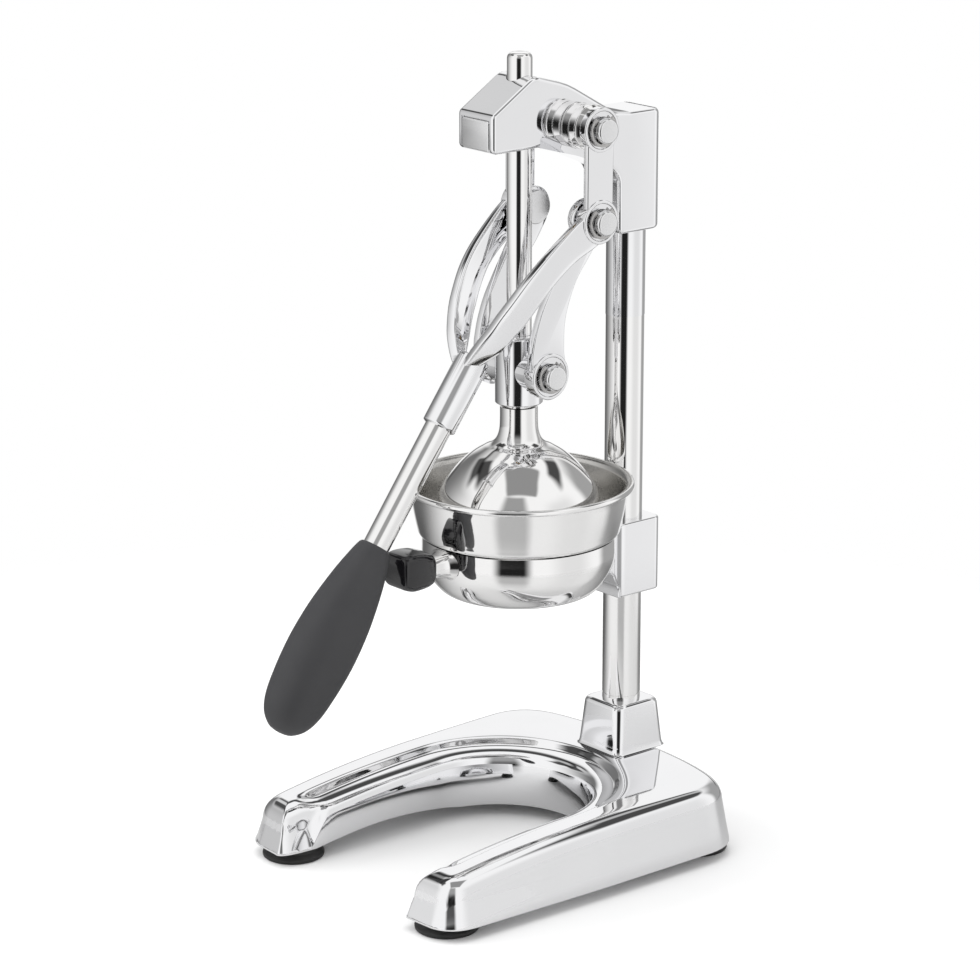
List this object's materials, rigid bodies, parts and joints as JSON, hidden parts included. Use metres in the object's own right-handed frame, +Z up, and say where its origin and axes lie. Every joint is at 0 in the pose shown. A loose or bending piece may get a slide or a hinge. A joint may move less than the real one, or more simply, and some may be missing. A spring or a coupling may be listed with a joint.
{
  "type": "lever citrus juice press",
  "caption": "Upright lever juice press: horseshoe base, column, crest-shaped head with toggle yoke and links, bell-shaped press cone over a strainer cup and a handled bowl.",
  "frame": {"origin": "middle of the footprint on the floor, under the middle of the bounding box", "axes": "+Z up, the lever and the open front of the base face -Y, the column stands towards +Y, X across"},
  "size_m": [0.1904, 0.2752, 0.4558],
  "materials": {
    "polished_casting": "mirror polished and plated casting with soft edges",
    "polished_steel": "mirror polished turned steel",
    "satin_steel": "satin turned steel",
    "plate_steel": "fine brushed bare plate",
    "dark_steel": "dark oxide spring steel",
    "bronze_bush": "plain bearing bronze",
    "rubber_foot": "matte black rubber",
    "charcoal_grip": "matte charcoal moulding with a fine grain",
    "gloss_black": "glossy black moulding"
  },
  "bodies": {
    "stand": {"base_casting": "polished_casting", "foot_front_left": "rubber_foot", "foot_front_right": "rubber_foot", "foot_rear_left": "rubber_foot", "foot_rear_right": "rubber_foot", "column_socket": "polished_casting", "column": "polished_steel", "column_bolt": "satin_steel", "column_washer": "satin_steel", "head_casting": "polished_casting", "nose_plate": "plate_steel", "head_set_screw": "dark_steel", "plunger_bush_lower": "bronze_bush", "plunger_bush_upper": "bronze_bush", "fulcrum_axle": "satin_steel", "fulcrum_spacer_left": "polished_steel", "fulcrum_spacer_right": "polished_steel", "fulcrum_clip_left": "dark_steel", "fulcrum_clip_right": "dark_steel", "cup_bracket": "polished_casting", "bracket_set_screw": "dark_steel"},
    "lever": {"lever_yoke": "polished_casting", "handle_rod": "polished_steel", "handle_grip": "charcoal_grip", "middle_pin_left": "satin_steel", "middle_pin_right": "satin_steel", "middle_clip_left": "dark_steel", "middle_clip_right": "dark_steel"},
    "links": {"link_left": "polished_casting", "link_right": "polished_casting", "lower_pin_left": "satin_steel", "lower_pin_right": "satin_steel", "lower_clip_left": "dark_steel", "lower_clip_right": "dark_steel"},
    "plunger": {"plunger_rod": "polished_steel", "crosshead": "polished_casting", "crosshead_pin": "satin_steel", "press_cone": "polished_steel"},
    "bowl": {"lower_bowl": "polished_steel", "bowl_handle_stub": "polished_steel", "bowl_handle_grip": "gloss_black", "strainer_cup": "polished_steel", "strainer_cone": "satin_steel"}
  },
  "joints": [
    {"name": "lever_hinge", "type": "hinge", "parent": "stand", "child": "lever", "pos_m": [0, 0.06501, 0.4149], "axis": [-1, 0, 0], "range_deg": [0, 110]},
    {"name": "link_hinge", "type": "hinge", "parent": "lever", "child": "links", "pos_m": [0, 0.06501, 0.3643], "axis": [1, 0, 0], "range_deg": [0, 141.3]},
    {"name": "plunger_slide", "type": "slide", "parent": "stand", "child": "plunger", "axis": [0, 0, 1], "range_m": [0, 0.06532]},
    {"name": "bowl_turn", "type": "hinge", "parent": "stand", "child": "bowl", "pos_m": [0, 0.03661, 0.17], "axis": [0, 0, 1], "range_deg": [-130, 130]}
  ],
  "couplings": [
    {"joint": "link_hinge", "follows": "lever_hinge", "ratio": 1.2844},
    {"joint": "plunger_slide", "follows": "lever_hinge", "m_per_rad": 0.034021}
  ]
}
